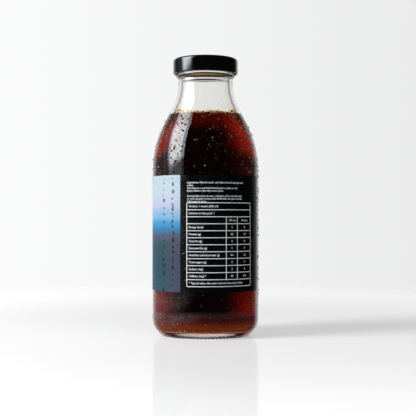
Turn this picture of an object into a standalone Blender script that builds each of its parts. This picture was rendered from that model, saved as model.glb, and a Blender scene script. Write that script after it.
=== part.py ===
"""Small clear-glass drinks bottle with a black twist-off lug cap, a wrap-round label and its contents.

Frame: metres, +Z up along the bottle's axis, origin at the centre of the base, on the surface it stands on.
Angles round the bottle are in degrees from the front (-Y), positive towards +X, so they grow anticlockwise
seen from above, which is the way the cap opens.
Every round piece is an outline of (radius, height) points spun about the axis.
"""

import math

import bmesh
import bpy
from mathutils import Matrix

MM = 0.001

# ---- Glass: driving dimensions -------------------------------------------------------------------------------
BODY_RADIUS = 30.0 * MM
BODY_WALL = 3.1 * MM
HEEL_ARC = 11.0 * MM            # radius of the curve from the wall down to the base
HEEL_TOP = 9.6 * MM             # height where that curve starts
SHOULDER_START = 93.6 * MM
SHOULDER_ARC = 57.0 * MM        # convex curve at the top of the body
NECK_ARC = 29.4 * MM            # concave curve into the neck
NECK_RADIUS = 15.5 * MM
NECK_WALL = 2.3 * MM
NECK_ARC_TOP = 143.0 * MM       # height where the neck becomes straight
LIP_TOP = 155.9 * MM            # sealing face
LAND_RADIUS = 15.9 * MM         # the finish, between the threads
LIP_EDGE = 0.7 * MM             # rounding of the lip

BEAD_RADIUS = 16.7 * MM         # the bead under the cap
BEAD_MIDDLE = 147.15 * MM
BEAD_HALF_HEIGHT = 0.95 * MM

BEARING_INNER = 22.4 * MM       # the flat ring the bottle stands on
BEARING_OUTER = 24.0 * MM
PUSH_UP_EDGE = 19.0 * MM
PUSH_UP_EDGE_HEIGHT = 2.2 * MM
PUSH_UP_HEIGHT = 3.2 * MM
FLOOR_HEIGHT = 4.4 * MM         # inside floor beside the heel
FLOOR_MIDDLE = 5.4 * MM
INNER_HEEL_ARC = 4.5 * MM

# ---- Lug finish: glass threads and the cap's lugs share one helix ----------------------------------------------
STARTS = 4
LEAD = 12.0 * MM                # rise of the helix in one full turn
THREAD_RADIUS = 17.2 * MM
THREAD_THICKNESS = 1.4 * MM
THREAD_BEFORE = 14.0            # degrees of thread on the closing side of a seated lug
THREAD_AFTER = 52.0             # degrees of thread on the opening side
LUG_HALF_WIDTH = 9.0            # degrees
LUG_THICKNESS = 0.8 * MM
LUG_CLEARANCE = 0.15 * MM       # between a seated lug and the thread above it
FIRST_LUG = 20.0                # degrees from the front

# ---- Cap: heights below are from its rim -----------------------------------------------------------------------
CAP_RIM_Z = 148.2 * MM
CAP_RADIUS = 18.45 * MM
CAP_HEIGHT = 8.8 * MM
CAP_SHEET = 0.25 * MM
CAP_CORNER = 1.8 * MM
CURL_INNER = 17.45 * MM
CURL_HEIGHT = 1.1 * MM
LUG_REACH = 16.3 * MM           # inner radius of the lugs
PANEL_RADIUS = 12.3 * MM        # the sunken middle of the top
PANEL_STEP = 0.5 * MM
BUTTON_RADIUS = 8.0 * MM
BUTTON_RISE = 0.25 * MM
LINER_INNER = 13.0 * MM
LINER_OUTER = 16.8 * MM

# ---- Label and contents ----------------------------------------------------------------------------------------
LABEL_BOTTOM = 26.0 * MM
LABEL_TOP = 89.8 * MM
LABEL_THICKNESS = 0.12 * MM
LABEL_START = -268.0            # degrees; the left-hand end, round the back
LABEL_END = 72.0
DRINK_LEVEL = 124.6 * MM
FROTH_HEIGHT = 1.6 * MM
FROTH_WIDTH = 2.2 * MM

GAP = 0.1 * MM                  # kept between pieces that touch
SEGMENTS = 48
LABEL_SEGMENTS = 45
TINY = 1e-7


# ---- Outlines --------------------------------------------------------------------------------------------------
def arc(centre, radius, start, end, steps):
    """Points along a circular arc in (radius, height), its angles in degrees from the outward direction."""
    points = []
    for i in range(steps + 1):
        angle = math.radians(start + (end - start) * i / steps)
        points.append((centre[0] + radius * math.cos(angle), centre[1] + radius * math.sin(angle)))
    return points


def oval(centre, width, height, start, end, steps):
    """The same along an ellipse."""
    points = []
    for i in range(steps + 1):
        angle = math.radians(start + (end - start) * i / steps)
        points.append((centre[0] + width * math.cos(angle), centre[1] + height * math.sin(angle)))
    return points


def shoulder_and_neck(body_wall=0.0, neck_wall=0.0):
    """From the top of the straight body up to the neck: a convex arc, the cone that touches both arcs, a concave arc.

    With walls of 0 this is the outside. Otherwise it is the inside, on the same two centres."""
    low = (BODY_RADIUS - SHOULDER_ARC, SHOULDER_START)
    high = (NECK_RADIUS + NECK_ARC, NECK_ARC_TOP)
    low_radius = SHOULDER_ARC - body_wall
    high_radius = NECK_ARC + neck_wall
    across, up = high[0] - low[0], high[1] - low[1]
    towards = math.degrees(math.atan2(up, across))
    cone = towards - math.degrees(math.acos((low_radius + high_radius) / math.hypot(across, up)))
    return arc(low, low_radius, 0, cone, 8) + arc(high, high_radius, 180 + cone, 180, 6)


def inside_wall():
    """The inner face of the glass, from the middle of the floor up to the lip."""
    inner = BODY_RADIUS - BODY_WALL
    heel = arc((inner - INNER_HEEL_ARC, FLOOR_HEIGHT + INNER_HEEL_ARC), INNER_HEEL_ARC, -90, 0, 6)
    bore = NECK_RADIUS - NECK_WALL
    lip = arc((bore + LIP_EDGE, LIP_TOP - LIP_EDGE), LIP_EDGE, 180, 90, 3)
    return [(0, FLOOR_MIDDLE), (inner * 0.4, FLOOR_MIDDLE - 0.3 * MM), *heel,
            *shoulder_and_neck(BODY_WALL, NECK_WALL), *lip]


def outside_wall():
    """The outer face of the glass, from the middle of the push-up under the base to the lip."""
    heel_centre = (BODY_RADIUS - HEEL_ARC, HEEL_TOP)
    heel_low = -math.degrees(math.acos((BEARING_OUTER + 0.5 * MM - heel_centre[0]) / HEEL_ARC))
    bead_root = math.degrees(math.acos((NECK_RADIUS - LAND_RADIUS) / (BEAD_RADIUS - LAND_RADIUS)))
    return [
        (0, PUSH_UP_HEIGHT),
        (PUSH_UP_EDGE * 0.6, PUSH_UP_HEIGHT - 0.2 * MM),
        (PUSH_UP_EDGE, PUSH_UP_EDGE_HEIGHT),
        (BEARING_INNER - 0.8 * MM, 0.6 * MM),
        (BEARING_INNER, 0),
        (BEARING_OUTER, 0),
        *arc(heel_centre, HEEL_ARC, heel_low, 0, 6),
        *shoulder_and_neck(),
        *oval((LAND_RADIUS, BEAD_MIDDLE), BEAD_RADIUS - LAND_RADIUS, BEAD_HALF_HEIGHT, -bead_root, 90, 6),
        *arc((LAND_RADIUS - LIP_EDGE, LIP_TOP - LIP_EDGE), LIP_EDGE, 0, 90, 3),
    ]


def cap_outline():
    """The pressed sheet in section: sunken panel with a button, raised ring, corner, skirt and the curl at its rim."""
    top = CAP_HEIGHT
    corner_outer = (CAP_RADIUS - CAP_CORNER, top - CAP_CORNER)
    curl_middle = (CURL_INNER + CAP_RADIUS) / 2
    curl_half = (CAP_RADIUS - CURL_INNER) / 2
    face = [
        (0, top - PANEL_STEP + BUTTON_RISE),
        (BUTTON_RADIUS * 0.7, top - PANEL_STEP + BUTTON_RISE * 0.8),
        (BUTTON_RADIUS, top - PANEL_STEP),
        (PANEL_RADIUS - 0.5 * MM, top - PANEL_STEP),
        (PANEL_RADIUS + 0.3 * MM, top),
    ]
    outside = arc(corner_outer, CAP_CORNER, 90, 0, 5)
    curl = oval((curl_middle, CURL_HEIGHT / 2), curl_half, CURL_HEIGHT / 2, 0, -180, 6)
    curl_top = [(CURL_INNER, CURL_HEIGHT * 0.8), (CURL_INNER + 0.3 * MM, CURL_HEIGHT)]
    inner_skirt = CAP_RADIUS - CAP_SHEET
    inside = [(inner_skirt, CURL_HEIGHT + 0.2 * MM)] + arc(corner_outer, CAP_CORNER - CAP_SHEET, 0, 90, 4)
    under = [(r, z - CAP_SHEET) for r, z in reversed(face)]
    return face + outside + curl + curl_top + inside + under


# ---- Meshes ----------------------------------------------------------------------------------------------------
def at_angle(radius, degrees, height):
    """The point at this radius and height, so many degrees round from the front."""
    turn = math.radians(degrees)
    return (radius * math.sin(turn), -radius * math.cos(turn), height)


def mesh_object(name, mesh_data, material, parent, height=0.0):
    """Finishes a bmesh as a named object with outward faces, smooth apart from its sharp edges."""
    bmesh.ops.remove_doubles(mesh_data, verts=mesh_data.verts, dist=TINY)
    bmesh.ops.recalc_face_normals(mesh_data, faces=mesh_data.faces)
    mesh = bpy.data.meshes.new(name)
    mesh_data.to_mesh(mesh)
    mesh_data.free()
    mesh.shade_smooth()
    mesh.set_sharp_from_angle(angle=math.radians(35))
    piece = bpy.data.objects.new(name, mesh)
    bpy.context.scene.collection.objects.link(piece)
    if material is not None:
        mesh.materials.append(material)
    piece.parent = parent
    piece.location.z = height
    return piece


def spun(outline, closed, start=0.0, sweep=360.0, steps=SEGMENTS):
    """A bmesh of the outline spun about the axis. A closed outline makes a ring, an open one starts and ends on the axis."""
    made = bmesh.new()
    corners = [made.verts.new(at_angle(r, start, z)) for r, z in outline]
    for a, b in zip(corners, corners[1:]):
        made.edges.new((a, b))
    if closed:
        made.edges.new((corners[-1], corners[0]))
    whole = abs(sweep - 360.0) < TINY
    if not whole:
        made.faces.new(corners)
    bmesh.ops.spin(
        made, geom=made.verts[:] + made.edges[:] + made.faces[:], cent=(0, 0, 0), axis=(0, 0, 1),
        angle=math.radians(sweep), steps=steps, use_merge=whole,
    )
    return made


def helical_blocks(reach, root, underside, thickness, before, after, slope, steps):
    """One block for each start, following the helix. reach and root are its radii, underside its height at the lug's
    middle, and before and after its ends in degrees either side of that. slope bevels its upper and lower edges."""
    made = bmesh.new()
    for start in range(STARTS):
        middle = FIRST_LUG + start * 360.0 / STARTS
        rings = []
        for i in range(steps + 1):
            offset = -before + (before + after) * i / steps
            low = underside + LEAD * offset / 360.0
            section = [(root, low), (reach, low + slope), (reach, low + thickness - slope), (root, low + thickness)]
            rings.append([made.verts.new(at_angle(r, middle + offset, z)) for r, z in section])
        for a, b in zip(rings, rings[1:]):
            for j in range(4):
                k = (j + 1) % 4
                made.faces.new((a[j], a[k], b[k], b[j]))
        made.faces.new(rings[0])
        made.faces.new(rings[-1])
    return made


def unite(piece, tool):
    """Joins the tool's shape to the piece with a Boolean, and keeps the tool out of the render."""
    tool.hide_render = True
    tool.display_type = "WIRE"
    join = piece.modifiers.new("join_" + tool.name, "BOOLEAN")
    join.operation = "UNION"
    join.solver = "EXACT"
    join.object = tool


# ---- Materials -------------------------------------------------------------------------------------------------
def material(name, colour, roughness, metallic=0.0, transmission=0.0):
    made = bpy.data.materials.new(name)
    made.use_nodes = True
    shader = made.node_tree.nodes["Principled BSDF"]
    shader.inputs["Base Color"].default_value = (*colour, 1.0)
    shader.inputs["Roughness"].default_value = roughness
    shader.inputs["Metallic"].default_value = metallic
    shader.inputs["Transmission Weight"].default_value = transmission
    return made


# ---- Pieces ----------------------------------------------------------------------------------------------------
def make_bottle(parent):
    """The one moulded piece of glass, with its four threads."""
    glass = material("clear_glass", (0.95, 0.97, 0.96), 0.05, transmission=1.0)
    outline = outside_wall() + list(reversed(inside_wall()))
    bottle = mesh_object("bottle_glass", spun(outline, closed=False), glass, parent)
    seated = CAP_RIM_Z + LUG_THICKNESS + LUG_HALF_WIDTH * LEAD / 360.0
    threads = helical_blocks(
        THREAD_RADIUS, LAND_RADIUS - 1.2 * MM, seated + LUG_CLEARANCE, THREAD_THICKNESS,
        THREAD_BEFORE, THREAD_AFTER, 0.2 * MM, 12,
    )
    unite(bottle, mesh_object("thread_blocks", threads, None, parent))
    return bottle


def make_cap(parent):
    """The pressed tinplate shell with its curled rim and four lugs."""
    enamel = material("black_enamel", (0.01, 0.01, 0.012), 0.25, metallic=0.0)
    shell = mesh_object("cap_shell", spun(cap_outline(), closed=False), enamel, parent)
    lugs = helical_blocks(
        LUG_REACH, CURL_INNER + 0.5 * MM, LUG_HALF_WIDTH * LEAD / 360.0, LUG_THICKNESS,
        LUG_HALF_WIDTH, LUG_HALF_WIDTH, 0.1 * MM, 4,
    )
    unite(shell, mesh_object("lug_blocks", lugs, None, parent))
    return shell


def make_liner(parent):
    """The ring of sealing compound between the cap's top and the lip."""
    compound = material("sealing_compound", (0.78, 0.76, 0.72), 0.6)
    low = LIP_TOP - CAP_RIM_Z + GAP
    high = CAP_HEIGHT - CAP_SHEET - GAP
    outline = [(LINER_INNER, low), (LINER_OUTER, low), (LINER_OUTER, high), (LINER_INNER, high)]
    return mesh_object("cap_liner", spun(outline, closed=True), compound, parent)


def make_label(parent):
    """The wrap-round label, a thin sheet that stops short of meeting itself."""
    film = material("label_film", (0.02, 0.02, 0.025), 0.4)
    inner = BODY_RADIUS + GAP
    outer = inner + LABEL_THICKNESS
    outline = [(inner, LABEL_BOTTOM), (outer, LABEL_BOTTOM), (outer, LABEL_TOP), (inner, LABEL_TOP)]
    sheet = spun(outline, closed=True, start=LABEL_START, sweep=LABEL_END - LABEL_START, steps=LABEL_SEGMENTS)
    return mesh_object("wrap_label", sheet, film, parent)


def wall_at(height):
    """The inner radius of the glass at this height."""
    wall = inside_wall()[2:]
    for (r0, z0), (r1, z1) in zip(wall, wall[1:]):
        if z0 <= height <= z1 and z1 > z0:
            return r0 + (r1 - r0) * (height - z0) / (z1 - z0)
    raise ValueError("no wall at this height")


def make_drink(parent):
    """What fills the bottle up to its shoulder, a gap clear of the glass."""
    coffee = material("coffee", (0.08, 0.01, 0.003), 0.05, transmission=0.9)
    wetted = [(r, z) for r, z in inside_wall() if z < DRINK_LEVEL - 0.5 * MM]
    side = [(0.0, wetted[0][1] + GAP), (wetted[1][0], wetted[1][1] + GAP)]
    for r, z in wetted[2:]:
        lift = GAP if z < FLOOR_HEIGHT + INNER_HEEL_ARC else 0.0
        side.append((r - GAP, z + lift))
    outline = side + [(wall_at(DRINK_LEVEL) - GAP, DRINK_LEVEL), (0.0, DRINK_LEVEL)]
    return mesh_object("drink", spun(outline, closed=False), coffee, parent)


def make_froth(parent):
    """The ring of fine bubbles that clings to the glass round the top of the drink."""
    foam = material("froth", (0.72, 0.55, 0.32), 0.7)
    low = DRINK_LEVEL + GAP
    high = low + FROTH_HEIGHT
    outline = [
        (wall_at(low) - GAP - FROTH_WIDTH, low),
        (wall_at(low) - GAP, low),
        (wall_at(high) - GAP, high),
        (wall_at(high) - GAP - 0.5 * FROTH_WIDTH, high),
    ]
    return mesh_object("froth_ring", spun(outline, closed=True), foam, parent)


def empty(name, parent=None, height=0.0):
    made = bpy.data.objects.new(name, None)
    bpy.context.scene.collection.objects.link(made)
    made.parent = parent
    made.matrix_local = Matrix.Translation((0, 0, height))
    return made


def main():
    for old in list(bpy.data.objects):
        bpy.data.objects.remove(old)
    standing = empty("bottle_frame")
    cap_axis = empty("cap_axis", standing, CAP_RIM_Z)
    make_bottle(standing)
    make_label(standing)
    make_drink(standing)
    make_froth(standing)
    make_liner(cap_axis)
    make_cap(cap_axis)


main()
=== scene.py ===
"""The looks of a small clear-glass drinks bottle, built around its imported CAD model.

Metres, +Z up, the bottle standing on the origin. Angles round the bottle are in degrees from the front (-Y),
positive towards +X. A heading is such an angle for a light or the camera, seen from the bottle.
"""

import math
import random

import bmesh
import bpy
from mathutils import Matrix, Quaternion, Vector, noise


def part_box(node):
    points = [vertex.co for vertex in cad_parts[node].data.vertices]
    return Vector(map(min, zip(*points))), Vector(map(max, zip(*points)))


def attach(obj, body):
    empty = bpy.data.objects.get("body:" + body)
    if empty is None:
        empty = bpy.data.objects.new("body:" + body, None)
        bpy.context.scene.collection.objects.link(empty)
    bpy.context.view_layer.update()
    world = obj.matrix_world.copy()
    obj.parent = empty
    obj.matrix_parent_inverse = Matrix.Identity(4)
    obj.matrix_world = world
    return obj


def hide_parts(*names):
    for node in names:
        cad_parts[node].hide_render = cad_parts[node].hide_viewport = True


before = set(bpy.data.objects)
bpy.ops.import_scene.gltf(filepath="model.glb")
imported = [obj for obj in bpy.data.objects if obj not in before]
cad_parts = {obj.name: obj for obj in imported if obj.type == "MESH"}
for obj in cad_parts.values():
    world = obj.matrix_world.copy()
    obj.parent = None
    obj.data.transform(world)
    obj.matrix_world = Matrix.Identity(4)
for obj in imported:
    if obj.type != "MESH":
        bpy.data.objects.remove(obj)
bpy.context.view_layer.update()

MM = 0.001

# ---- Places and sizes, read from the frame -------------------------------------------------------
glass_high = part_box("bottle_glass")[1]
cap_low, cap_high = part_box("cap_shell")
liner_low, liner_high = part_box("cap_liner")
label_low, label_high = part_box("wrap_label")
drink_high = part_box("drink")[1]

BODY_RADIUS = glass_high.x
LIP_TOP = glass_high.z
CAP_RADIUS = cap_high.x
CAP_RIM_Z = cap_low.z
CAP_HEIGHT = cap_high.z - cap_low.z
DRINK_LEVEL = drink_high.z
LABEL_BOTTOM, LABEL_TOP = label_low.z, label_high.z

# ---- The glass's outline: the CAD model's design, with a rounder base ring -----------------------
BODY_WALL = 3.1 * MM
HEEL_ARC = 11.0 * MM
HEEL_TOP = 9.6 * MM
SHOULDER_START = 93.6 * MM
SHOULDER_ARC = 57.0 * MM
NECK_ARC = 29.4 * MM
NECK_RADIUS = 15.5 * MM
NECK_WALL = 2.3 * MM
NECK_ARC_TOP = 143.0 * MM
LAND_RADIUS = 15.9 * MM
LIP_EDGE = 0.7 * MM
BEAD_RADIUS = 16.7 * MM
BEAD_MIDDLE = 147.15 * MM
BEAD_HALF_HEIGHT = 0.95 * MM
BEARING_INNER = 21.6 * MM
BEARING_OUTER = 24.8 * MM
PUSH_UP_HEIGHT = 3.2 * MM
FLOOR_HEIGHT = 4.4 * MM
FLOOR_MIDDLE = 5.4 * MM
INNER_HEEL_ARC = 4.5 * MM

STARTS = 4
LEAD = 12.0 * MM
THREAD_RADIUS = 17.2 * MM
THREAD_THICKNESS = 1.4 * MM
THREAD_BEFORE = 14.0
THREAD_AFTER = 52.0
LUG_HALF_WIDTH = 9.0
LUG_THICKNESS = 0.8 * MM
LUG_CLEARANCE = 0.15 * MM
LUG_REACH = 16.3 * MM
FIRST_LUG = 20.0

# ---- Fine detail that only the visible surfaces have ---------------------------------------------
GLASS_SEGMENTS = 360
KNURLS = 72                     # stipples round the base ring
KNURL_DEPTH = 0.5 * MM
SEAM_HEIGHT = 0.05 * MM         # the mould's two upright seams
SEAM_WIDTH = 1.2                # degrees
WALL_RIPPLE = 0.14 * MM         # unevenness of the inner wall


# ---- Outlines ------------------------------------------------------------------------------------
def arc(centre, radius, start, end, steps):
    """Points along a circular arc in (radius, height), its angles in degrees from the outward direction."""
    return oval(centre, radius, radius, start, end, steps)


def oval(centre, width, height, start, end, steps):
    points = []
    for i in range(steps + 1):
        angle = math.radians(start + (end - start) * i / steps)
        points.append((centre[0] + width * math.cos(angle), centre[1] + height * math.sin(angle)))
    return points


def line(start, end, steps):
    """Points from start up to, but not including, end."""
    return [tuple(a + (b - a) * i / steps for a, b in zip(start, end)) for i in range(steps)]


def smoothstep(low, high, value):
    t = min(max((value - low) / (high - low), 0.0), 1.0)
    return t * t * (3 - 2 * t)


def shoulder_and_neck(body_wall=0.0, neck_wall=0.0):
    """From the top of the straight body up to the neck: a convex arc, a cone and a concave arc."""
    low = (BODY_RADIUS - SHOULDER_ARC, SHOULDER_START)
    high = (NECK_RADIUS + NECK_ARC, NECK_ARC_TOP)
    low_radius = SHOULDER_ARC - body_wall
    high_radius = NECK_ARC + neck_wall
    across, up = high[0] - low[0], high[1] - low[1]
    towards = math.degrees(math.atan2(up, across))
    cone = towards - math.degrees(math.acos((low_radius + high_radius) / math.hypot(across, up)))
    convex = arc(low, low_radius, 0, cone, 28)
    concave = arc(high, high_radius, 180 + cone, 180, 20)
    return convex + line(convex[-1], concave[0], 6)[1:] + concave


def inside_wall():
    """The inner face of the glass, from the middle of the floor up to the lip."""
    inner = BODY_RADIUS - BODY_WALL
    heel = arc((inner - INNER_HEEL_ARC, FLOOR_HEIGHT + INNER_HEEL_ARC), INNER_HEEL_ARC, -90, 0, 14)
    floor = [(r, FLOOR_MIDDLE + (FLOOR_HEIGHT - FLOOR_MIDDLE) * (r / heel[0][0]) ** 2)
             for r, z in line((0, 0), (heel[0][0], 0), 12)]
    bore = NECK_RADIUS - NECK_WALL
    lip = arc((bore + LIP_EDGE, LIP_TOP - LIP_EDGE), LIP_EDGE, 180, 90, 6)
    body = line(heel[-1], (inner, SHOULDER_START), 20)[1:]
    return floor + heel + body + shoulder_and_neck(BODY_WALL, NECK_WALL) + lip


def outside_wall():
    """The outer face of the glass, from the middle of the push-up under the base to the lip."""
    push_up = [(r, PUSH_UP_HEIGHT * (1 - (r / BEARING_INNER) ** 8) + 0.35 * MM)
               for r, z in line((0, 0), (BEARING_INNER, 0), 20)]
    bearing_middle = (BEARING_INNER + BEARING_OUTER) / 2
    bearing = oval((bearing_middle, 0.4 * MM), BEARING_OUTER - bearing_middle, 0.4 * MM, 180, 340, 9)
    heel_centre = (BODY_RADIUS - HEEL_ARC, HEEL_TOP)
    heel = arc(heel_centre, HEEL_ARC, -55, 0, 20)
    body = line(heel[-1], (BODY_RADIUS, SHOULDER_START), 24)[1:]
    ring = [(NECK_RADIUS + 0.12 * MM * math.sin(math.pi * t / 6), NECK_ARC_TOP + 0.25 * MM * t)
            for t in range(1, 7)]
    bead_root = [(NECK_RADIUS, 145.4 * MM), (NECK_RADIUS + 0.15 * MM, 145.9 * MM)]
    bead = oval((LAND_RADIUS, BEAD_MIDDLE), BEAD_RADIUS - LAND_RADIUS, BEAD_HALF_HEIGHT, -80, 80, 12)
    bead_top = BEAD_MIDDLE + BEAD_HALF_HEIGHT + 0.2 * MM
    finish = line((LAND_RADIUS, bead_top), (LAND_RADIUS, LIP_TOP - LIP_EDGE), 38)
    lip = arc((LAND_RADIUS - LIP_EDGE, LIP_TOP - LIP_EDGE), LIP_EDGE, 0, 90, 6)
    return push_up + bearing + heel + body + shoulder_and_neck() + ring + bead_root + bead + finish + lip


OUTER_PROFILE = [point for point in outside_wall() if point[0] > BEARING_OUTER * 0.5]
INNER_PROFILE = [point for point in inside_wall() if point[1] > FLOOR_HEIGHT]


def on_wall(profile, height):
    """The wall's radius at this height, and how far its surface leans back from upright, in degrees."""
    for (r0, z0), (r1, z1) in zip(profile, profile[1:]):
        if z0 <= height <= z1 and z1 > z0:
            radius = r0 + (r1 - r0) * (height - z0) / (z1 - z0)
            return radius, math.degrees(math.atan2(r0 - r1, z1 - z0))
    raise ValueError("no glass at this height")


# ---- Mesh tools ----------------------------------------------------------------------------------
def at_angle(radius, degrees, height):
    """The point at this radius and height, so many degrees round from the front."""
    turn = math.radians(degrees)
    return Vector((radius * math.sin(turn), -radius * math.cos(turn), height))


def to_mesh(name, made):
    """A bmesh turned into a mesh."""
    mesh = bpy.data.meshes.new(name)
    made.to_mesh(mesh)
    made.free()
    return mesh


def new_object(name, data):
    """An object that holds this data, linked into the scene."""
    holder = bpy.data.objects.new(name, data)
    bpy.context.scene.collection.objects.link(holder)
    return holder


def finish_piece(name, made, materials, body, smooth_angle=40):
    """Makes a bmesh into a named piece that rides on a body, smooth apart from its sharp edges."""
    bmesh.ops.recalc_face_normals(made, faces=made.faces)
    mesh = to_mesh(name, made)
    for material in materials:
        mesh.materials.append(material)
    mesh.shade_smooth()
    mesh.set_sharp_from_angle(angle=math.radians(smooth_angle))
    piece = new_object(name, mesh)
    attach(piece, body)
    return piece


def lathe(outline, segments, closed=False, shape=None, paint=None):
    """A bmesh of the outline turned about the axis.

    A closed outline makes a ring, and an open one starts and ends on the axis. shape moves each point, and
    paint gives each band of faces its material's number.
    """
    made = bmesh.new()
    rings = []
    for index, (r, z) in enumerate(outline):
        if r < 1e-9:
            rings.append([made.verts.new((0, 0, z))])
            continue
        ring = []
        for i in range(segments):
            degrees = 360.0 * i / segments - 180.0
            rr, zz = shape(r, z, degrees, index) if shape else (r, z)
            ring.append(made.verts.new(at_angle(rr, degrees, zz)))
        rings.append(ring)
    pairs = list(zip(rings, rings[1:]))
    if closed:
        pairs.append((rings[-1], rings[0]))
    for band, (a, b) in enumerate(pairs):
        for i in range(segments):
            k = (i + 1) % segments
            if len(a) == 1:
                face = made.faces.new((a[0], b[k], b[i]))
            elif len(b) == 1:
                face = made.faces.new((a[i], a[k], b[0]))
            else:
                face = made.faces.new((a[i], a[k], b[k], b[i]))
            face.material_index = paint(band) if paint else 0
    return made


# ---- Material tools ------------------------------------------------------------------------------
class Nodes:
    """A short way to wire up a material's nodes."""

    def __init__(self, owner):
        owner.use_nodes = True
        self.tree = owner.node_tree

    def add(self, kind, settings=None, **inputs):
        node = self.tree.nodes.new(kind)
        for name, value in (settings or {}).items():
            setattr(node, name, value)
        for name, value in inputs.items():
            self.set(node, name.replace("_", " "), value)
        return node

    def set(self, node, name, value):
        socket = node.inputs[int(name)] if name.isdigit() else node.inputs[name]
        if isinstance(value, bpy.types.NodeSocket):
            self.tree.links.new(value, socket)
        else:
            socket.default_value = value

    def math(self, operation, a, b=0.0, clamp=False):
        node = self.tree.nodes.new("ShaderNodeMath")
        node.operation = operation
        node.use_clamp = clamp
        self.set(node, "0", a)
        self.set(node, "1", b)
        return node.outputs[0]

    def times(self, a, b):
        return self.math("MULTIPLY", a, b)

    def plus(self, a, b):
        return self.math("ADD", a, b)

    def larger(self, a, b):
        return self.math("MAXIMUM", a, b)

    def spread(self, value, from_low, from_high, to_low, to_high, smooth=True):
        """Value carried from one range to another, held at its ends."""
        node = self.add("ShaderNodeMapRange", {"interpolation_type": "SMOOTHSTEP" if smooth else "LINEAR"})
        for name, given in (("Value", value), ("From Min", from_low), ("From Max", from_high),
                            ("To Min", to_low), ("To Max", to_high)):
            self.set(node, name, given)
        return node.outputs["Result"]

    def mix(self, factor, a, b, blend="MIX"):
        node = self.tree.nodes.new("ShaderNodeMix")
        node.data_type = "RGBA"
        node.blend_type = blend
        for index, value in ((0, factor), (6, a), (7, b)):
            if isinstance(value, bpy.types.NodeSocket):
                self.tree.links.new(value, node.inputs[index])
            else:
                node.inputs[index].default_value = value
        return node.outputs[2]

    def ramp(self, value, stops):
        node = self.add("ShaderNodeValToRGB")
        ramp = node.color_ramp
        ramp.interpolation = "EASE"
        while len(ramp.elements) < len(stops):
            ramp.elements.new(1.0)
        for element, (place, colour) in zip(ramp.elements, stops):
            element.position = place
            element.color = (*colour, 1.0)
        self.set(node, "Fac", value)
        return node.outputs["Color"]

    def position(self):
        return self.add("ShaderNodeTexCoord").outputs["Object"]

    def noise(self, where, size, detail=3.0, roughness=0.5):
        """Noise whose features are about this many metres across."""
        return self.add(
            "ShaderNodeTexNoise", Vector=where, Scale=1.0 / size, Detail=detail, Roughness=roughness)

    def bump(self, height, distance):
        return self.add("ShaderNodeBump", Height=height, Distance=distance).outputs["Normal"]


def srgb(red, green, blue):
    """A colour on a 0 to 255 screen as linear light."""
    return tuple(
        ((c / 255 + 0.055) / 1.055) ** 2.4 if c > 10 else c / 255 / 12.92 for c in (red, green, blue))


def new_material(name, colour, roughness, **inputs):
    """A Principled material, and the tool that adds nodes to it."""
    material = bpy.data.materials.new(name)
    nodes = Nodes(material)
    shader = nodes.tree.nodes["Principled BSDF"]
    nodes.set(shader, "Base Color", (*colour, 1.0))
    nodes.set(shader, "Roughness", roughness)
    for key, value in inputs.items():
        nodes.set(shader, key.replace("_", " "), value)
    return material, nodes, shader


def glass(name, colour, **inputs):
    """Flint glass with the faint swirls of a moulded surface."""
    material, nodes, shader = new_material(name, colour, 0.0, IOR=1.5, Transmission_Weight=1.0, **inputs)
    swirl = nodes.noise(nodes.position(), 9 * MM, 2.0).outputs["Fac"]
    nodes.set(shader, "Normal", nodes.bump(swirl, 0.02 * MM))
    return material, nodes, shader


def clear_glass():
    material, nodes, shader = glass("clear_glass", (0.985, 0.99, 0.975))
    height = nodes.add("ShaderNodeSeparateXYZ", Vector=nodes.position()).outputs["Z"]
    thick = nodes.spread(height, 8 * MM, 4 * MM, 0.0, 1.0)
    nodes.set(shader, "Base Color", nodes.mix(thick, (0.985, 0.99, 0.975, 1.0), (0.93, 0.93, 0.82, 1.0)))
    return material


def wetted_glass():
    """The glass's inner face where the drink lies against it, which hardly shines."""
    return glass("wetted_glass", (1.0, 1.0, 1.0), Specular_Tint=(0.0, 0.0, 0.0, 1.0))[0]


def upper_inner_glass():
    """The inner face above the drink: a thin film of drink, with painted light over it, brown where the face
    is seen at a slant, for the drink's light carried up the glass to the neck's edges.
    """
    material, nodes, shader = glass("upper_inner_glass", (1.0, 0.99, 0.97))
    slant = nodes.add("ShaderNodeLayerWeight", Blend=0.5).outputs["Facing"]
    # Painted light: brown mixed in by the slant of the face stands for the drink's colour that the glass
    # carries to the neck's edges.
    film = nodes.spread(slant, 0.62, 0.86, 0.0, 1.0)
    nodes.set(shader, "Base Color", nodes.mix(film, (1.0, 0.99, 0.97, 1.0), (*srgb(140, 66, 40), 1.0)))
    return material


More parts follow.
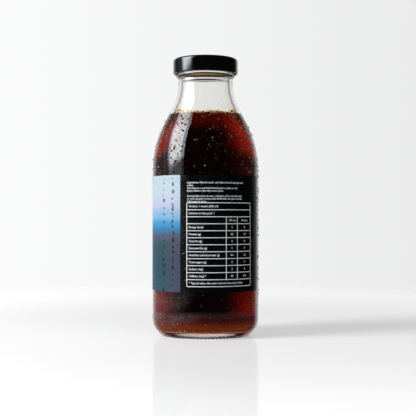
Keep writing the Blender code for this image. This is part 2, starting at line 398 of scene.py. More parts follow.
def coffee():
    """Clear red-brown drink, black where it is deep, with painted light round its foot: a faint red and a
    warmer orange diffuse share near the wall, lit by the lamps, standing for light that comes up through the
    base.
    """
    material, nodes, shader = new_material(
        "coffee", (1.0, 1.0, 1.0), 0.0, IOR=1.34, Transmission_Weight=1.0, Specular_Tint=(0.0, 0.0, 0.0, 1.0))
    parts = nodes.add("ShaderNodeSeparateXYZ", Vector=nodes.position())
    x, y, height = parts.outputs["X"], parts.outputs["Y"], parts.outputs["Z"]
    squared = nodes.plus(nodes.times(x, x), nodes.times(y, y))
    from_axis = nodes.math("SQRT", squared)
    side = nodes.spread(from_axis, 21 * MM, 25 * MM, 0.0, 1.0)
    # Painted light: near the wall at the drink's foot, red and then orange diffuse colour stands in for light
    # from below.
    painted_foot_haze = nodes.times(side, nodes.spread(height, 16 * MM, 11 * MM, 0.0, 1.0))
    heel = nodes.spread(height, 10.5 * MM, 6 * MM, 0.0, 1.0)
    glow = nodes.times(side, heel)
    painted_foot_share = nodes.plus(nodes.times(painted_foot_haze, 0.035), nodes.times(glow, 0.13))
    nodes.set(shader, "Transmission Weight", nodes.math("SUBTRACT", 1.0, painted_foot_share))
    colour = nodes.mix(painted_foot_haze, (1.0, 1.0, 1.0, 1.0), (*srgb(226, 36, 22), 1.0))
    nodes.set(shader, "Base Color", nodes.mix(glow, colour, (*srgb(255, 106, 20), 1.0)))
    volume = nodes.add("ShaderNodeVolumeAbsorption", Color=(0.85, 0.625, 0.4, 1.0), Density=400.0)
    nodes.tree.links.new(volume.outputs["Volume"], nodes.tree.nodes["Material Output"].inputs["Volume"])
    return material


def water():
    """Drops of condensation: a glossy skin over a faintly rough body."""
    return new_material(
        "water", (1.0, 1.0, 1.0), 0.28, IOR=1.333, Transmission_Weight=1.0,
        Coat_Weight=1.0, Coat_Roughness=0.0, Coat_IOR=1.333)[0]


def black_enamel():
    material, nodes, shader = new_material("black_enamel", (0.0015, 0.0015, 0.002), 0.1, IOR=1.5)
    where = nodes.position()
    peel = nodes.noise(where, 1.1 * MM, 3.0)
    smudge = nodes.noise(where, 6 * MM, 4.0)
    nodes.set(shader, "Roughness", nodes.spread(smudge.outputs["Fac"], 0.35, 0.7, 0.07, 0.16))
    nodes.set(shader, "Normal", nodes.bump(peel.outputs["Fac"], 0.012 * MM))
    return material


def gold_lacquer():
    material, nodes, shader = new_material("gold_lacquer", srgb(214, 176, 110), 0.28, Metallic=1.0)
    where = nodes.position()
    rolled = nodes.add("ShaderNodeMapping", Vector=where, Scale=(1.0, 1.0, 9.0)).outputs["Vector"]
    grain = nodes.noise(rolled, 0.8 * MM, 3.0)
    nodes.set(shader, "Roughness", nodes.spread(grain.outputs["Fac"], 0.3, 0.7, 0.2, 0.36))
    nodes.set(shader, "Normal", nodes.bump(grain.outputs["Fac"], 0.01 * MM))
    return material


def sealing_compound():
    material, nodes, shader = new_material("sealing_compound", srgb(218, 212, 200), 0.55)
    grain = nodes.noise(nodes.position(), 0.5 * MM, 4.0)
    shade = nodes.mix(grain.outputs["Fac"], (*srgb(206, 199, 186), 1), (*srgb(226, 221, 210), 1))
    nodes.set(shader, "Base Color", shade)
    nodes.set(shader, "Normal", nodes.bump(grain.outputs["Fac"], 0.02 * MM))
    return material


def froth():
    """Tan bubbles, some pale and some dark with the drink between them."""
    material, nodes, shader = new_material("froth", srgb(214, 176, 124), 0.25, IOR=1.34)
    spots = nodes.noise(nodes.position(), 1.1 * MM, 1.0)
    nodes.set(shader, "Base Color", nodes.ramp(spots.outputs["Fac"], [
        (0.40, srgb(40, 22, 12)),
        (0.47, srgb(190, 138, 80)),
        (0.55, srgb(244, 200, 136)),
        (0.62, srgb(255, 240, 204)),
    ]))
    return material


PICTURE_STOPS = [               # the label's picture from its bottom edge to its top edge
    (0.00, (43, 71, 86)),
    (0.22, (40, 68, 82)),
    (0.40, (46, 70, 80)),
    (0.475, (70, 78, 98)),
    (0.52, (56, 106, 141)),
    (0.565, (52, 134, 180)),
    (0.65, (122, 163, 195)),
    (0.76, (172, 178, 203)),
    (0.86, (173, 190, 203)),
    (1.00, (169, 189, 199)),
]


def label_picture():
    """Printed film: a soft sky-to-sea gradient with a little drift in its bands, and a painted grey-purple
    tint of light in its lower band towards +X.
    """
    material, nodes, shader = new_material("label_picture", (0.5, 0.7, 0.9), 0.5, Specular_IOR_Level=0.1)
    where = nodes.position()
    parts = nodes.add("ShaderNodeSeparateXYZ", Vector=where)
    height = parts.outputs["Z"]
    drift = nodes.noise(where, 14 * MM, 2.0).outputs["Fac"]
    moved = nodes.times(nodes.math("SUBTRACT", drift, 0.5), 5 * MM)
    place = nodes.spread(nodes.plus(height, moved), LABEL_BOTTOM, LABEL_TOP, 0.0, 1.0, smooth=False)
    colour = nodes.ramp(place, [(at, srgb(*c)) for at, c in PICTURE_STOPS])
    # Painted light: in the lower band a grey-purple tint is mixed in towards +X, where less of the left light
    # reaches the panel.
    low = nodes.spread(place, 0.4, 0.52, 0.5, 0.0)
    painted_side_tint = nodes.times(low, nodes.spread(parts.outputs["X"], -24 * MM, -16 * MM, 0.0, 1.0))
    nodes.set(shader, "Base Color", nodes.mix(painted_side_tint, colour, (*srgb(72, 62, 80), 1)))
    fibre = nodes.noise(where, 0.35 * MM, 2.0)
    nodes.set(shader, "Normal", nodes.bump(fibre.outputs["Fac"], 0.004 * MM))
    return material


def label_black():
    material, nodes, shader = new_material("label_black", srgb(8, 9, 12), 0.3, Specular_IOR_Level=0.2)
    where = nodes.position()
    dew = nodes.noise(where, 0.45 * MM, 3.0)
    mottle = nodes.noise(where, 5 * MM, 3.0)
    nodes.set(shader, "Roughness", nodes.spread(mottle.outputs["Fac"], 0.35, 0.7, 0.2, 0.34))
    shade = nodes.mix(dew.outputs["Fac"], (*srgb(2, 3, 4), 1), (*srgb(9, 11, 14), 1))
    nodes.set(shader, "Base Color", shade)
    nodes.set(shader, "Normal", nodes.bump(dew.outputs["Fac"], 0.01 * MM))
    return material


def label_ink():
    material, nodes, shader = new_material("label_ink", srgb(236, 237, 238), 0.45)
    grain = nodes.noise(nodes.position(), 0.2 * MM, 2.0)
    shade = nodes.mix(grain.outputs["Fac"], (*srgb(226, 228, 230), 1), (*srgb(250, 250, 252), 1))
    nodes.set(shader, "Base Color", shade)
    return material


# ---- Glass ---------------------------------------------------------------------------------------
def make_glass(clear, wetted, upper_inner):
    """The moulded bottle: knurled base ring, seams, bead and threads, all one closed surface."""
    outside = outside_wall()
    inside = list(reversed(inside_wall()))
    seated = CAP_RIM_Z + LUG_THICKNESS + LUG_HALF_WIDTH * LEAD / 360.0 + LUG_CLEARANCE

    def thread(degrees, z):
        """How far the threads stand out here, from 0 to 1."""
        out = 0.0
        for start in range(STARTS):
            offset = (degrees - FIRST_LUG - start * 360.0 / STARTS + 180.0) % 360.0 - 180.0
            middle = seated + THREAD_THICKNESS / 2 + LEAD * offset / 360.0
            across = 1.0 - smoothstep(0.55, 1.0, abs(z - middle) / (THREAD_THICKNESS / 2))
            ends = smoothstep(-THREAD_BEFORE, -THREAD_BEFORE + 8, offset)
            ends *= 1.0 - smoothstep(THREAD_AFTER - 14, THREAD_AFTER, offset)
            out = max(out, across * ends)
        return out

    def shape(r, z, degrees, index):
        if index >= len(outside):
            spot = at_angle(r / (16 * MM), degrees, z / (22 * MM))
            wall = 1.0 - smoothstep(SHOULDER_START, NECK_ARC_TOP, z)
            if z > FLOOR_HEIGHT + INNER_HEEL_ARC * 0.5:
                r -= WALL_RIPPLE * wall * (0.5 + 0.5 * noise.noise(spot))
            return r, z
        if z > BEAD_MIDDLE + BEAD_HALF_HEIGHT and r > LAND_RADIUS - 0.01 * MM:
            r += (THREAD_RADIUS - LAND_RADIUS) * thread(degrees, z)
        elif z < 1.2 * MM and r > BEARING_INNER - 0.2 * MM:
            ring = 1.0 - smoothstep(0.5 * MM, 1.2 * MM, z)
            z += KNURL_DEPTH * ring * (0.5 - 0.5 * math.cos(math.radians(degrees) * KNURLS))
        elif z > 2.0 * MM and r > NECK_RADIUS - 0.1 * MM:
            from_seam = min(abs(abs(degrees) - 90.0), SEAM_WIDTH)
            r += SEAM_HEIGHT * (1.0 - smoothstep(0.0, SEAM_WIDTH, from_seam))
        return r, z

    outline = outside + inside

    def paint(band):
        if band < len(outside) or outline[band][1] > LIP_TOP - LIP_EDGE:
            return 0
        return 1 if outline[band][1] < DRINK_LEVEL else 2

    made = lathe(outline, GLASS_SEGMENTS, shape=shape, paint=paint)
    piece = finish_piece("glass_bottle", made, [clear, wetted, upper_inner], "bottle")
    piece.visible_shadow = False
    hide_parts("bottle_glass")
    return piece


# ---- Drink and froth -----------------------------------------------------------------------------
FROTH_BUBBLES = 1500
FROTH_DEPTH = 2.8 * MM
DRINK_BITE = 0.08 * MM          # how far the drink reaches into the glass, so that no film of air is left
MENISCUS = 0.6 * MM


def make_drink(material):
    """The drink, wetting the glass all over, with a meniscus round its top."""
    wetted = [(r, z) for r, z in inside_wall() if z < DRINK_LEVEL]
    side = []
    for r, z in wetted:
        down = DRINK_BITE if z < FLOOR_HEIGHT + INNER_HEEL_ARC else 0.0
        side.append((r + DRINK_BITE if r > 0 else 0.0, z - down))
    edge = on_wall(INNER_PROFILE, DRINK_LEVEL)[0] + DRINK_BITE
    surface = []
    for i in range(14):
        from_wall = (i / 13.0) ** 2 * edge
        r = max(edge - from_wall, 0.0)
        rise = MENISCUS * math.exp(-from_wall / (0.9 * MM))
        surface.append((r, DRINK_LEVEL - MENISCUS + rise))
    piece = finish_piece("cold_drink", lathe(side + surface, 240), [material], "bottle")
    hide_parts("drink")
    return piece


def add_ball(made, middle, radius, squash=1.0, subdivisions=1):
    place = Matrix.Translation(middle) @ Matrix.Diagonal((radius, radius, radius * squash, 1.0))
    bmesh.ops.create_icosphere(made, subdivisions=subdivisions, radius=1.0, matrix=place)


def make_froth(material):
    """A collar of small bubbles against the glass, deepest at the sides and thin at the front."""
    dice = random.Random(7)
    made = bmesh.new()
    for bubble in range(FROTH_BUBBLES):
        degrees = dice.uniform(-180, 180)
        deep = 0.75 + 0.25 * math.cos(math.radians((degrees - 10) * 2 + 180))
        deep += 0.15 * math.sin(math.radians(degrees * 7))
        size = dice.uniform(0.25, 0.6) * MM
        height = DRINK_LEVEL - 0.7 * MM + dice.uniform(0.0, 1.0) * FROTH_DEPTH * deep
        inwards = abs(dice.gauss(0, 0.3)) * MM * (1.2 + deep)
        radius = on_wall(INNER_PROFILE, height)[0] - size * 0.9 - inwards
        add_ball(made, at_angle(radius, degrees, height), size, dice.uniform(0.8, 1.0))
    piece = finish_piece("froth_bubbles", made, [material], "bottle")
    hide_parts("froth_ring")
    return piece


# ---- Cap -----------------------------------------------------------------------------------------
CAP_SHEET = 0.25 * MM
CAP_CORNER = 1.8 * MM
CURL_INNER = 17.45 * MM
CURL_HEIGHT = 1.1 * MM
PANEL_RADIUS = 12.3 * MM
PANEL_STEP = 0.5 * MM
BUTTON_RADIUS = 8.0 * MM
BUTTON_RISE = 0.25 * MM


def cap_top(radius):
    """The height of the cap's upper face above its rim, out to its corner."""
    step = 1.0 - smoothstep(PANEL_RADIUS - 0.5 * MM, PANEL_RADIUS + 0.5 * MM, radius)
    button = 1.0 - smoothstep(BUTTON_RADIUS - 1.2 * MM, BUTTON_RADIUS, radius)
    return CAP_HEIGHT - PANEL_STEP * step + BUTTON_RISE * button


def make_cap(enamel, gold):
    """The pressed shell: black outside, gold lacquer inside, with a rolled rim."""
    corner = (CAP_RADIUS - CAP_CORNER, CAP_HEIGHT - CAP_CORNER)
    face = [(r, cap_top(r)) for r, z in line((0, 0), (corner[0], 0), 44)]
    outside = face + arc(corner, CAP_CORNER, 90, 0, 12)
    roll_middle = ((CURL_INNER + CAP_RADIUS) / 2, CURL_HEIGHT / 2)
    roll = oval(roll_middle, (CAP_RADIUS - CURL_INNER) / 2, CURL_HEIGHT / 2, 0, -225, 20)
    inner_skirt = [(CAP_RADIUS - CAP_SHEET, CURL_HEIGHT + 0.25 * MM)]
    inside = arc(corner, CAP_CORNER - CAP_SHEET, 0, 90, 10)
    under = [(r, z - CAP_SHEET) for r, z in reversed(face)]
    outline = [(r, z + CAP_RIM_Z) for r, z in outside + roll + inner_skirt + inside + under]
    black_bands = len(outside) + 8      # the enamel ends under the rolled rim
    made = lathe(outline, 192, paint=lambda band: 0 if band < black_bands else 1)
    piece = finish_piece("twist_cap", made, [enamel, gold], "cap", 50)
    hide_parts("cap_shell")
    return piece


def make_lugs(gold):
    """Four lugs pressed in from the rolled rim, each a rounded tongue on the threads' helix."""
    made = bmesh.new()
    across, along = 8, 12
    for start in range(STARTS):
        middle = FIRST_LUG + start * 360.0 / STARTS
        rings = []
        for i in range(along + 1):
            t = 2.0 * i / along - 1.0
            offset = t * LUG_HALF_WIDTH
            taper = math.sqrt(max(1.0 - abs(t) ** 4, 0.0)) * 0.85 + 0.15
            reach = CURL_INNER + 0.4 * MM - (CURL_INNER + 0.4 * MM - LUG_REACH) * taper
            root = CURL_INNER + 0.5 * MM
            low = CAP_RIM_Z + (LUG_HALF_WIDTH + offset) * LEAD / 360.0
            centre = ((reach + root) / 2, low + LUG_THICKNESS / 2)
            section = oval(centre, (root - reach) / 2, LUG_THICKNESS / 2, 0, 360, across)[:-1]
            rings.append([made.verts.new(at_angle(r, middle + offset, z)) for r, z in section])
        for a, b in zip(rings, rings[1:]):
            for j in range(across):
                k = (j + 1) % across
                made.faces.new((a[j], a[k], b[k], b[j]))
        made.faces.new(rings[0])
        made.faces.new(rings[-1])
    piece = finish_piece("cap_lugs", made, [gold], "cap")
    return piece


def make_liner(material):
    """The ring of sealing compound, rounded at its edges and dented where it sits on the lip."""
    low, high = liner_low.z, liner_high.z
    inner, outer = LAND_RADIUS - 2.9 * MM, liner_high.x
    middle, half = (inner + outer) / 2, (outer - inner) / 2
    outline = []
    for i in range(48):
        turn = 2 * math.pi * i / 48
        across = math.copysign(abs(math.cos(turn)) ** 0.35, math.cos(turn))
        up = math.copysign(abs(math.sin(turn)) ** 0.55, math.sin(turn))
        z = (low + high) / 2 + up * (high - low) / 2
        if up < 0:
            z += 0.08 * MM * math.cos(across * math.pi / 2)
        outline.append((middle + half * across, z))
    piece = finish_piece("sealing_ring", lathe(outline, 160, closed=True), [material], "cap_seal")
    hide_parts("cap_liner")
    return piece


# ---- Label ---------------------------------------------------------------------------------------
LABEL_START = -268.0
LABEL_END = 72.0
LABEL_BOUNDARY = -27.0          # where the picture panel ends and the black panel begins
LABEL_SKIN = BODY_RADIUS - 0.02 * MM
LABEL_FACE = BODY_RADIUS + 0.15 * MM
TABLE_COLUMNS = (-19.6, 22.1, 35.3, 55.0)
TABLE_TOP = 74.6 * MM
ROW_PITCH = 3.78 * MM
LINE_WIDTH = 0.36 * MM
TABLE_CORNER = 0.6 * MM
PRINT_HEIGHT = 0.02 * MM
ROW_TEXT = 1.55 * MM
NOTE_TEXT = 1.42 * MM
ROWS = (
    ("Portion: 1 bottle (250 ml)",),
    ("Portions in this pack: 1",),
    ("", "100 ml", "Portion"),
    ("Energy (kcal)", "3", "8"),
    ("Protein (g)", "0.5", "1.3"),
    ("Total fat (g)", "0", "0"),
    ("Saturated fat (g)", "0", "0"),
    ("Available carbohydrates (g)", "0.4", "1.0"),
    ("Total sugars (g)", "0", "0"),
    ("Sodium (mg)", "3", "8"),
    ("Caffeine (mg) *", "60", "150"),
    ("* Typical value, the exact amount may vary a little",),
)
NOTES = (
    (85.6, "Ingredients: filtered water and slow brewed dark ground"),
    (84.1, "coffee."),
    (82.6, "Best kept in a cool and shaded place, shake it well"),
    (81.1, "Enjoy within a few days once open."),
    (78.3, "Serving idea: pour it over a tall glass of ice and stir well,"),
    (76.8, "or mix one part of the cold drink with one part of milk."),
    (75.35, "Add sugar to taste."),
)


def sheet(start, end, bottom, top, inner, outer, made=None):
    """A bent strip of film between two angles and two heights."""
    made = made or bmesh.new()
    steps = max(2, int(abs(end - start) / 1.5))
    faces = []
    for radius in (inner, outer):
        rows = []
        for i in range(steps + 1):
            degrees = start + (end - start) * i / steps
            rows.append([made.verts.new(at_angle(radius, degrees, z)) for z in (bottom, top)])
        faces.append(rows)
    for inner_a, inner_b, outer_a, outer_b in zip(faces[0], faces[0][1:], faces[1], faces[1][1:]):
        made.faces.new((inner_a[0], inner_a[1], inner_b[1], inner_b[0]))
        made.faces.new((outer_a[0], outer_b[0], outer_b[1], outer_a[1]))
        made.faces.new((inner_a[0], inner_b[0], outer_b[0], outer_a[0]))
        made.faces.new((inner_a[1], outer_a[1], outer_b[1], inner_b[1]))
    for i in (0, -1):
        made.faces.new((faces[0][i][0], faces[1][i][0], faces[1][i][1], faces[0][i][1]))
    return made


def make_label(black, picture):
    """The film in its two printed panels. The picture panel's edge laps over the black one."""
    panel = finish_piece(
        "label_black_panel",
        sheet(LABEL_BOUNDARY - 2, LABEL_END, LABEL_BOTTOM, LABEL_TOP, LABEL_SKIN, LABEL_FACE),
        [black], "bottle", 30,
    )
    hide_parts("wrap_label")
    wrap = finish_piece(
        "label_picture_panel",
        sheet(LABEL_START, LABEL_BOUNDARY, LABEL_BOTTOM, LABEL_TOP, LABEL_SKIN, LABEL_FACE + 0.05 * MM),
        [picture], "bottle", 30,
    )


def add_text(made, words, size, degrees, height, align="LEFT"):
    """Raised print bent round the label, its baseline at this height."""
    curve = bpy.data.curves.new("words", "FONT")
    curve.body = words
    curve.size = size
    curve.align_x = align
    curve.resolution_u = 2
    curve.offset = size * 0.008
    curve.extrude = PRINT_HEIGHT
    holder = new_object("words", curve)
    graph = bpy.context.evaluated_depsgraph_get()
    flat = bpy.data.meshes.new_from_object(holder.evaluated_get(graph))
    for vertex in flat.vertices:
        x, y, z = vertex.co
        turned = degrees + math.degrees(x / LABEL_FACE)
        vertex.co = at_angle(LABEL_FACE + z, turned, height + y)
    made.from_mesh(flat)
    bpy.data.objects.remove(holder)
    bpy.data.curves.remove(curve)
    bpy.data.meshes.remove(flat)


def make_print(ink):
    """The information table's ruled lines, its rows and the notes above it."""
    made = bmesh.new()
    inner, outer = LABEL_FACE - 0.02 * MM, LABEL_FACE + PRINT_HEIGHT
    left, right = TABLE_COLUMNS[0], TABLE_COLUMNS[-1]
    bottom = TABLE_TOP - ROW_PITCH * len(ROWS)
    half_line = math.degrees(LINE_WIDTH / 2 / LABEL_FACE)
    for row in range(len(ROWS) + 1):
        z = TABLE_TOP - ROW_PITCH * row
        inset = 1.2 if row in (0, len(ROWS)) else 0.0
        sheet(left + inset, right - inset, z - LINE_WIDTH / 2, z + LINE_WIDTH / 2, inner, outer, made)
    for column, degrees in enumerate(TABLE_COLUMNS):
        outer_column = column in (0, len(TABLE_COLUMNS) - 1)
        top = TABLE_TOP - (TABLE_CORNER if outer_column else 2 * ROW_PITCH)
        base = bottom + (TABLE_CORNER if outer_column else ROW_PITCH)
        sheet(degrees - half_line, degrees + half_line, base, top, inner, outer, made)
    turn = math.degrees(TABLE_CORNER / LABEL_FACE)
    for degrees, side in ((left, 1), (right, -1)):
        for z, up in ((TABLE_TOP, -1), (bottom, 1)):
            for i in range(4):
                a = math.radians(90 * (i + 0.5) / 4)
                spot_turn = degrees + side * turn * (1 - math.sin(a))
                spot_z = z + up * TABLE_CORNER * (1 - math.cos(a))
                sheet(spot_turn - half_line * 0.9, spot_turn + half_line * 0.9,
                      spot_z - LINE_WIDTH * 0.45, spot_z + LINE_WIDTH * 0.45, inner, outer, made)
    for row, cells in enumerate(ROWS):
        baseline = TABLE_TOP - ROW_PITCH * (row + 0.5) - 0.5 * MM
        add_text(made, cells[0], ROW_TEXT, left + 2.2, baseline)
        for column, words in enumerate(cells[1:], start=1):
            middle = (TABLE_COLUMNS[column] + TABLE_COLUMNS[column + 1]) / 2
            add_text(made, words, ROW_TEXT, middle, baseline, "CENTER")
    for height, words in NOTES:
        add_text(made, words, NOTE_TEXT, left + 0.3, height * MM - 0.45 * MM)
    bmesh.ops.remove_doubles(made, verts=made.verts, dist=1e-6)
    piece = finish_piece("label_print", made, [ink], "bottle", 30)


# ---- Droplets ------------------------------------------------------------------------------------
DROP_ZONES = (                  # how many, lowest and highest height, smallest and largest width in mm
    (580, 91 * MM, 123 * MM, 0.35, 1.5),
    (80, 123 * MM, 144 * MM, 0.25, 0.5),
    (250, 5 * MM, 25 * MM, 0.3, 0.95),
)
DROP_RUNS = (                   # degrees round the label, and about how far apart the drops lie in mm
    (-49.5, 3.4),
    (-36.5, 2.6),
    (-118, 4.0),
    (-150, 3.0),
    (-205, 3.2),
)
PICTURE_LIFT = LABEL_FACE + 0.05 * MM - BODY_RADIUS
BLACK_LIFT = LABEL_FACE - BODY_RADIUS
DROP_SWELL = 0.42               # a drop's height over its width
FINE_DROP_SWELL = 0.3


def add_drop(made, dice, degrees, height, width, length, swell, lift=0.0):
    """One drop on the outside: a lens, longer than wide where it has begun to run, and fuller at its foot."""
    radius, tilt = on_wall(OUTER_PROFILE, height)
    radius += lift
    turn, lean = math.radians(degrees), math.radians(tilt)
    outward = Vector((math.sin(turn) * math.cos(lean), -math.cos(turn) * math.cos(lean), math.sin(lean)))
    up = Vector((-math.sin(turn) * math.sin(lean), math.cos(turn) * math.sin(lean), math.cos(lean)))
    across = up.cross(outward)
    middle = at_angle(radius, degrees, height) - outward * 0.03 * MM
    sides, rings = 12, 4
    wobble = [1.0 + dice.uniform(-0.1, 0.1) for side in range(3)]
    lean_to = dice.uniform(-0.15, 0.15) * width
    layers = []
    for ring in range(rings):
        rise = ring / rings
        reach = math.cos(rise * math.pi / 2)
        layer = []
        for side in range(sides):
            a = 2 * math.pi * side / sides
            edge = reach * (1 + (wobble[0] - 1) * math.cos(2 * a) + (wobble[1] - 1) * math.cos(3 * a + 1))
            x, y = math.cos(a) * edge, math.sin(a) * edge
            slim = 1.0 - 0.45 * smoothstep(-0.2, 1.0, y) * min(length / width - 1.0, 1.0)
            spot = middle + across * (x * width / 2 * slim + lean_to * y) + up * (y * length / 2)
            layer.append(made.verts.new(spot + outward * swell * math.sin(rise * math.pi / 2)))
        layers.append(layer)
    crown = made.verts.new(middle + outward * swell - up * (length - width) * 0.15)
    for a, b in zip(layers, layers[1:]):
        for side in range(sides):
            k = (side + 1) % sides
            made.faces.new((a[side], a[k], b[k], b[side]))
    for side in range(sides):
        made.faces.new((layers[-1][side], layers[-1][(side + 1) % sides], crown))
    made.faces.new(list(reversed(layers[0])))


def make_drops(material):
    """Condensation: drops on the bare glass and on the label, some of which ran down its picture."""
    dice = random.Random(24)
    made = bmesh.new()
    for count, low, high, small, large in DROP_ZONES:
        for drop in range(count):
            width = (small + (large - small) * dice.random() ** 3.2) * MM
            length = width * dice.uniform(1.0, 1.25)
            place = dice.uniform(-180, 180)
            if abs(place) > 66 and dice.random() < 0.4:
                place *= 0.4            # more of them on the front than on the sides and back
            add_drop(made, dice, place, dice.uniform(low, high), width, length, width * DROP_SWELL)
    for drop in range(60):              # the bare strip between the label's ends
        width = dice.uniform(0.35, 1.15) * MM
        place = dice.uniform(LABEL_END + 2, 360 + LABEL_START - 2)
        height = dice.uniform(20 * MM, 96 * MM)
        length = width * dice.uniform(1, 1.6)
        add_drop(made, dice, place, height, width, length, width * DROP_SWELL)
    for degrees, spacing in DROP_RUNS:
        height = LABEL_TOP - 2 * MM
        while height > LABEL_BOTTOM + 1 * MM:
            width = (0.7 + 1.2 * dice.random() ** 1.4) * MM
            length = width * dice.uniform(1.1, 1.8)
            place = degrees + dice.uniform(-0.9, 0.9)
            add_drop(made, dice, place, height, width, length, width * DROP_SWELL, PICTURE_LIFT)
            height -= length * 0.6 + dice.uniform(0.3, 1.1) * spacing * MM
    for drop in range(150):             # fine ones on the picture panel
        width = dice.uniform(0.2, 0.5) * MM
        place = dice.uniform(LABEL_START + 2, LABEL_BOUNDARY - 0.5)
        height = dice.uniform(LABEL_BOTTOM, LABEL_TOP)
        add_drop(made, dice, place, height, width, width * 1.2, width * FINE_DROP_SWELL, PICTURE_LIFT)
    for drop in range(60):              # fine ones on the black panel, clear of its table
        width = dice.uniform(0.2, 0.55) * MM
        place = dice.choice((dice.uniform(-26.5, -20), dice.uniform(-26.5, 70)))
        height = dice.uniform(LABEL_BOTTOM if place < -20 else 76 * MM, LABEL_TOP)
        add_drop(made, dice, place, height, width, width * 1.2, width * FINE_DROP_SWELL, BLACK_LIFT)
    piece = finish_piece("dew_drops", made, [material], "bottle", 60)
    return piece


# ---- Studio --------------------------------------------------------------------------------------
CAMERA_DISTANCE = 0.570
CAMERA_HEIGHT = 65.8 * MM
CAMERA_LENS = 86.5
SOFTBOX_HEADING = (-77, 30)     # and its elevation
SOFTBOX_DISTANCE = 1.0
SOFTBOX_SIZE = 1.2
SOFTBOX_LEAN = 20
FLOOR_RADIUS = 0.60
PAST_DRINK = 4.5                # light with a greater transmission depth than this has crossed the drink


def heading(degrees, elevation=0.0):
    """The direction this many degrees round from the front and up from level."""
    up = math.radians(elevation)
    return at_angle(math.cos(up), degrees, math.sin(up))


def make_camera():
    camera = bpy.data.cameras.new("camera")
    camera.lens = CAMERA_LENS
    camera.sensor_width = 36.0
    camera.clip_start = 0.01
    holder = new_object("camera", camera)
    holder.location = (1.4 * MM, -CAMERA_DISTANCE, CAMERA_HEIGHT)
    target = Vector((1.4 * MM, 0.0, CAMERA_HEIGHT + 6.3 * MM))
    holder.rotation_euler = (target - holder.location).to_track_quat("-Z", "Y").to_euler()
    bpy.context.scene.camera = holder


def make_floor():
    """Pale paper round the bottle that fades into the backdrop."""
    made = bmesh.new()
    bmesh.ops.create_circle(made, cap_ends=True, segments=96, radius=FLOOR_RADIUS)
    mesh = to_mesh("floor", made)
    floor = new_object("floor", mesh)
    material = bpy.data.materials.new("floor_paper")
    nodes = Nodes(material)
    nodes.tree.nodes.clear()
    where = nodes.position()
    parts = nodes.add("ShaderNodeSeparateXYZ", Vector=where)
    seen = nodes.add("ShaderNodeLightPath")
    away = nodes.add("ShaderNodeVectorMath", {"operation": "LENGTH"}, **{"0": where}).outputs["Value"]
    in_front = nodes.spread(parts.outputs["X"], -0.12, 0.0, 1.0, 0.13)
    front = nodes.times(nodes.spread(away, 0.13, 0.2, 1.0, 0.0), in_front)
    left = nodes.spread(parts.outputs["X"], -0.26, -0.1, 0.6, 0.0)
    near = nodes.spread(away, 0.2, 0.5, 1.0, 0.0)
    under = nodes.spread(away, 0.03, 0.06, 0.35, 0.0)       # what shows of the paper through the glass
    mirrored = nodes.times(nodes.larger(front, left), near)     # and what shows in reflections
    shown = nodes.mix(seen.outputs["Is Transmission Ray"], mirrored, under)
    shown = nodes.mix(seen.outputs["Is Camera Ray"], shown, near)
    diffuse = nodes.add("ShaderNodeBsdfDiffuse", Color=(0.5, 0.5, 0.5, 1.0))
    table_glow = nodes.spread(parts.outputs["X"], -0.2, 0.2, 0.45, 0.375, smooth=False)
    table_glow = nodes.plus(table_glow, nodes.spread(away, 0.1, 0.4, 0.0, 0.26))
    glow = nodes.add("ShaderNodeEmission", Color=(1.0, 1.0, 1.0, 1.0), Strength=table_glow)
    lit = nodes.add("ShaderNodeAddShader", **{"0": diffuse.outputs[0], "1": glow.outputs[0]})
    gloss = nodes.add("ShaderNodeBsdfGlossy", Color=(1.0, 1.0, 1.0, 1.0), Roughness=0.06)
    paper = nodes.add("ShaderNodeMixShader", **{"0": 0.14, "1": lit.outputs[0], "2": gloss.outputs[0]})
    clear = nodes.add("ShaderNodeBsdfTransparent")
    faded = nodes.add("ShaderNodeMixShader", **{"0": shown, "1": clear.outputs[0], "2": paper.outputs[0]})
    out = nodes.add("ShaderNodeOutputMaterial")
    nodes.tree.links.new(faded.outputs[0], out.inputs["Surface"])
    mesh.materials.append(material)


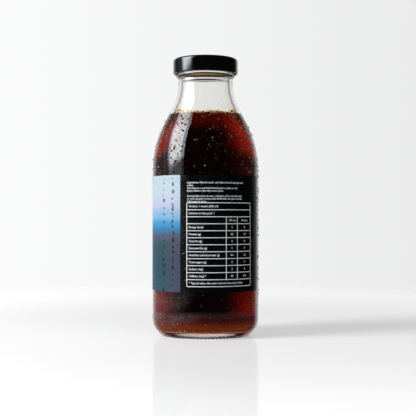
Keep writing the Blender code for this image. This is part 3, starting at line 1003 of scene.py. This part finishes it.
def make_world():
    """A near-white backdrop, which also shows through the glass, in a dark room with a lit back.

    Light that has crossed the drink meets panels at both sides instead, and a low glow.
    """
    world = bpy.data.worlds.new("studio")
    bpy.context.scene.world = world
    nodes = Nodes(world)
    nodes.tree.nodes.clear()
    direction = nodes.add("ShaderNodeTexCoord").outputs["Generated"]
    parts = nodes.add("ShaderNodeSeparateXYZ", Vector=direction)
    x, y = parts.outputs["X"], parts.outputs["Y"]
    seen = nodes.add("ShaderNodeLightPath")
    backdrop = nodes.spread(x, -0.42, 0.42, 1.035, 0.755, smooth=False)
    left_back = nodes.times(nodes.spread(x, -0.35, -0.85, 0.0, 1.0), nodes.spread(y, -0.15, 0.15, 0.0, 1.0))
    right_panel = nodes.spread(x, 0.18, 0.5, 0.0, 2.1)
    left_panel = nodes.spread(x, -0.14, -0.44, 0.0, 1.8)
    up = parts.outputs["Z"]
    above_floor = nodes.spread(up, -0.45, -0.2, 0.0, 1.0)
    level_band = nodes.times(above_floor, nodes.spread(up, -0.12, -0.03, 1.0, 0.08))
    panels = nodes.times(nodes.plus(right_panel, left_panel), level_band)
    low_glow = nodes.times(nodes.spread(up, -0.16, -0.26, 0.0, 1.0), 0.5)
    through_drink = nodes.plus(nodes.times(backdrop, 0.05), nodes.plus(low_glow, panels))
    in_drink = nodes.math("GREATER_THAN", seen.outputs["Transmission Depth"], PAST_DRINK)
    through = nodes.mix(in_drink, backdrop, through_drink)
    behind = nodes.times(nodes.spread(y, 0.6, 0.88, 0.0, 1.0), 0.88)
    room = nodes.larger(nodes.times(left_back, 0.15), behind)
    room = nodes.larger(room, 0.02)
    scattered = nodes.math("GREATER_THAN", seen.outputs["Diffuse Depth"], 0.5)
    refracted = seen.outputs["Is Transmission Ray"]
    room = nodes.larger(room, nodes.times(scattered, nodes.times(refracted, 0.55)))
    once_reflected = nodes.math("GREATER_THAN", seen.outputs["Glossy Depth"], 0.5)
    kept = nodes.spread(once_reflected, 0.0, 1.0, 1.0, nodes.spread(y, -0.2, 0.1, 0.0, 0.3))
    straight = nodes.times(nodes.math("SUBTRACT", refracted, scattered, clamp=True), kept)
    level = nodes.mix(straight, room, through)
    level = nodes.mix(seen.outputs["Is Camera Ray"], level, backdrop)
    tint = nodes.mix(1.0, level, (0.997, 1.0, 1.002, 1.0), "MULTIPLY")
    light = nodes.add("ShaderNodeBackground", Color=tint, Strength=1.0)
    out = nodes.add("ShaderNodeOutputWorld")
    nodes.tree.links.new(light.outputs[0], out.inputs["Surface"])


def make_softbox():
    """The softbox on the left that shows in the glass and on the cap: bright above, dim at its foot."""
    made = bmesh.new()
    bmesh.ops.create_grid(made, x_segments=1, y_segments=1, size=SOFTBOX_SIZE / 2)
    mesh = to_mesh("softbox", made)
    box = new_object("softbox", mesh)
    box.location = heading(*SOFTBOX_HEADING) * SOFTBOX_DISTANCE
    facing = (-box.location).to_track_quat("-Z", "Y")
    box.rotation_euler = (facing @ Quaternion((0, 0, 1), math.radians(SOFTBOX_LEAN))).to_euler()
    material = bpy.data.materials.new("softbox_light")
    nodes = Nodes(material)
    nodes.tree.nodes.clear()
    parts = nodes.add("ShaderNodeSeparateXYZ", Vector=nodes.position())
    across, up = parts.outputs["X"], parts.outputs["Y"]
    back_edge = nodes.spread(across, -0.36, -0.1, 0.04, 1.0)
    front_step = nodes.spread(across, 0.30, 0.33, 1.0, 0.45)
    front_edge = nodes.spread(across, 0.42, 0.46, 1.0, 0.0)
    sides = nodes.times(back_edge, nodes.times(front_step, front_edge))
    foot = nodes.spread(up, -0.42, -0.2, 0.1, 1.0)
    top = nodes.spread(up, 0.2, 0.5, 1.0, 0.5)
    level = nodes.times(nodes.times(sides, foot), nodes.times(top, 13.5))
    tint = nodes.mix(sides, (0.66, 0.83, 1.0, 1.0), (0.97, 0.975, 1.0, 1.0))
    light = nodes.add("ShaderNodeEmission", Color=tint, Strength=level)
    out = nodes.add("ShaderNodeOutputMaterial")
    nodes.tree.links.new(light.outputs[0], out.inputs["Surface"])
    mesh.materials.append(material)
    box.visible_camera = False
    box.visible_diffuse = False
    box.visible_shadow = False
    box.visible_transmission = False


def make_area_light(name, direction, distance, size, power):
    light = bpy.data.lights.new(name, "AREA")
    light.shape = "RECTANGLE"
    light.size, light.size_y = size
    light.energy = power
    holder = new_object(name, light)
    holder.location = direction * distance
    holder.rotation_euler = (-holder.location).to_track_quat("-Z", "Y").to_euler()
    holder.visible_glossy = False
    holder.visible_camera = False
    holder.visible_transmission = False


def make_studio():
    make_camera()
    make_floor()
    make_world()
    make_softbox()
    make_area_light("key_light", heading(-66, 33), 1.0, (0.34, 0.6), 11.5)
    make_area_light("fill_light", heading(22, 20), 1.2, (1.4, 1.0), 9.0)
    make_area_light("overhead_light", heading(0, 89), 1.2, (1.6, 1.6), 2.0)
    bpy.context.scene.view_settings.view_transform = "Standard"


def main():
    make_studio()
    make_glass(clear_glass(), wetted_glass(), upper_inner_glass())
    make_drink(coffee())
    make_froth(froth())
    gold = gold_lacquer()
    make_cap(black_enamel(), gold)
    make_lugs(gold)
    make_liner(sealing_compound())
    make_label(label_black(), label_picture())
    make_print(label_ink())
    make_drops(water())


main()
